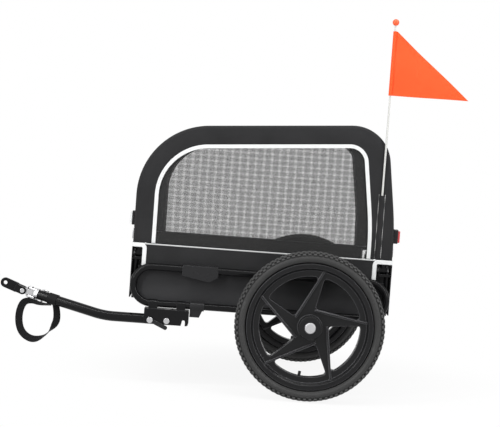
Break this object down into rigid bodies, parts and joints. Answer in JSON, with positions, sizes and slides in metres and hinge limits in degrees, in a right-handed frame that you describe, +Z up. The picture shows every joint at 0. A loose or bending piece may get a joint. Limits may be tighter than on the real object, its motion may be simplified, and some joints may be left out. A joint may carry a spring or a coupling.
{
  "type": "dog bike trailer",
  "caption": "Two-wheeled dog bike trailer with a folding black fabric cabin, mesh side windows, side tube loops, a bent tow arm with hitch and an orange flag.",
  "frame": {"origin": "on the ground midway between the wheels, straight under the axle", "axes": "+X towards the rear of the trailer, +Y towards its right-hand side, +Z up"},
  "size_m": [1.2276, 0.724, 1.031],
  "materials": {
    "black_steel": "satin",
    "bright_steel": "satin",
    "cabin_fabric": "matte",
    "window_mesh": "matte",
    "tyre_rubber": "matte",
    "black_rubber": "matte",
    "black_plastic": "satin",
    "floor_plastic": "matte",
    "clear_lens": "gloss",
    "red_lens": "gloss",
    "orange_fabric": "matte",
    "white_plastic": "gloss",
    "orange_plastic": "gloss",
    "black_webbing": "matte"
  },
  "bodies": {
    "base": {"left_side_loop": "black_steel", "right_side_loop": "black_steel", "front_cross_tube": "black_steel", "rear_cross_tube": "black_steel", "axle_tube": "black_steel", "front_end_frame": "black_steel", "rear_end_frame": "black_steel", "floor_board": "floor_plastic", "tub_walls": "cabin_fabric", "left_hinge_brackets": "black_steel", "right_hinge_brackets": "black_steel", "hinge_bolts": "bright_steel", "front_panel": "cabin_fabric", "roof_cover": "cabin_fabric", "rear_panel": "cabin_fabric", "left_axle": "bright_steel", "right_axle": "bright_steel", "left_grip": "black_plastic", "right_grip": "black_plastic", "storage_clip": "black_plastic", "tow_bracket": "black_steel", "pivot_bolt": "bright_steel"},
    "left_side": {"left_hoop": "black_steel", "left_side_panel": "cabin_fabric", "left_window_mesh": "window_mesh", "left_reflector_housings": "black_plastic", "left_front_lens": "clear_lens", "left_rear_lens": "red_lens", "flag_pocket": "cabin_fabric"},
    "right_side": {"right_hoop": "black_steel", "right_side_panel": "cabin_fabric", "right_window_mesh": "window_mesh", "right_reflector_housings": "black_plastic", "right_front_lens": "clear_lens", "right_rear_lens": "red_lens"},
    "left_wheel": {"left_tyre": "tyre_rubber", "left_rim": "black_plastic", "left_hub_cap": "black_plastic", "left_valve": "black_rubber", "left_bearings": "bright_steel"},
    "right_wheel": {"right_tyre": "tyre_rubber", "right_rim": "black_plastic", "right_hub_cap": "black_plastic", "right_valve": "black_rubber", "right_bearings": "bright_steel"},
    "left_release": {"left_button": "bright_steel"},
    "right_release": {"right_button": "bright_steel"},
    "tow_arm": {"tow_arm_tube": "black_steel", "lock_pin": "bright_steel", "coupler_shank": "bright_steel", "strap_collar": "black_webbing", "safety_strap": "black_webbing"},
    "keeper": {"keeper_lever": "black_plastic"},
    "pull_pin": {"ring_pin": "bright_steel"},
    "coupler": {"coupler_cross": "bright_steel", "coupler_pins": "bright_steel"},
    "hitch": {"hitch_plate": "black_steel"},
    "flag": {"flag_rod": "white_plastic", "flag_cloth": "orange_fabric", "flag_ball": "orange_plastic"}
  },
  "joints": [
    {"name": "left_wheel_spin", "type": "hinge", "parent": "base", "child": "left_wheel", "pos_m": [0, -0.32, 0.2], "axis": [0, 1, 0], "continuous": true},
    {"name": "right_wheel_spin", "type": "hinge", "parent": "base", "child": "right_wheel", "pos_m": [0, 0.32, 0.2], "axis": [0, 1, 0], "continuous": true},
    {"name": "left_release_push", "type": "slide", "parent": "base", "child": "left_release", "axis": [0, 1, 0], "range_m": [0, 0.004], "stiffness_N_per_m": 900},
    {"name": "right_release_push", "type": "slide", "parent": "base", "child": "right_release", "axis": [0, -1, 0], "range_m": [0, 0.004], "stiffness_N_per_m": 900},
    {"name": "left_fold", "type": "hinge", "parent": "base", "child": "left_side", "pos_m": [-0.139, -0.211, 0.353], "axis": [-1, 0, 0], "range_deg": [0, 90], "deforming": ["front_panel", "roof_cover", "rear_panel", "flag_rod", "flag_cloth", "flag_ball"]},
    {"name": "right_fold", "type": "hinge", "parent": "base", "child": "right_side", "pos_m": [-0.139, 0.211, 0.353], "axis": [1, 0, 0], "range_deg": [0, 80], "deforming": ["front_panel", "roof_cover", "rear_panel"]},
    {"name": "tow_arm_fold", "type": "hinge", "parent": "base", "child": "tow_arm", "pos_m": [-0.382, -0.24, 0.178], "axis": [0, -1, 0], "range_deg": [0, 180], "deforming": ["safety_strap"]},
    {"name": "keeper_swing", "type": "hinge", "parent": "tow_arm", "child": "keeper", "pos_m": [-0.427, -0.259, 0.178], "axis": [0, 1, 0], "range_deg": [0, 60]},
    {"name": "pull_pin_draw", "type": "slide", "parent": "tow_arm", "child": "pull_pin", "axis": [0.1941, 0, 0.981], "range_m": [0, 0.04]},
    {"name": "coupler_yaw", "type": "hinge", "parent": "tow_arm", "child": "coupler", "pos_m": [-0.76367, -0.1834, 0.21988], "axis": [0.1941, 0, 0.981], "range_deg": [-45, 45]},
    {"name": "coupler_pitch", "type": "hinge", "parent": "coupler", "child": "hitch", "pos_m": [-0.78427, -0.1834, 0.22396], "axis": [0, 1, 0], "range_deg": [-30, 30]},
    {"name": "flag_lift", "type": "slide", "parent": "left_side", "child": "flag", "axis": [0, 0, 1], "range_m": [0, 0.65]}
  ]
}
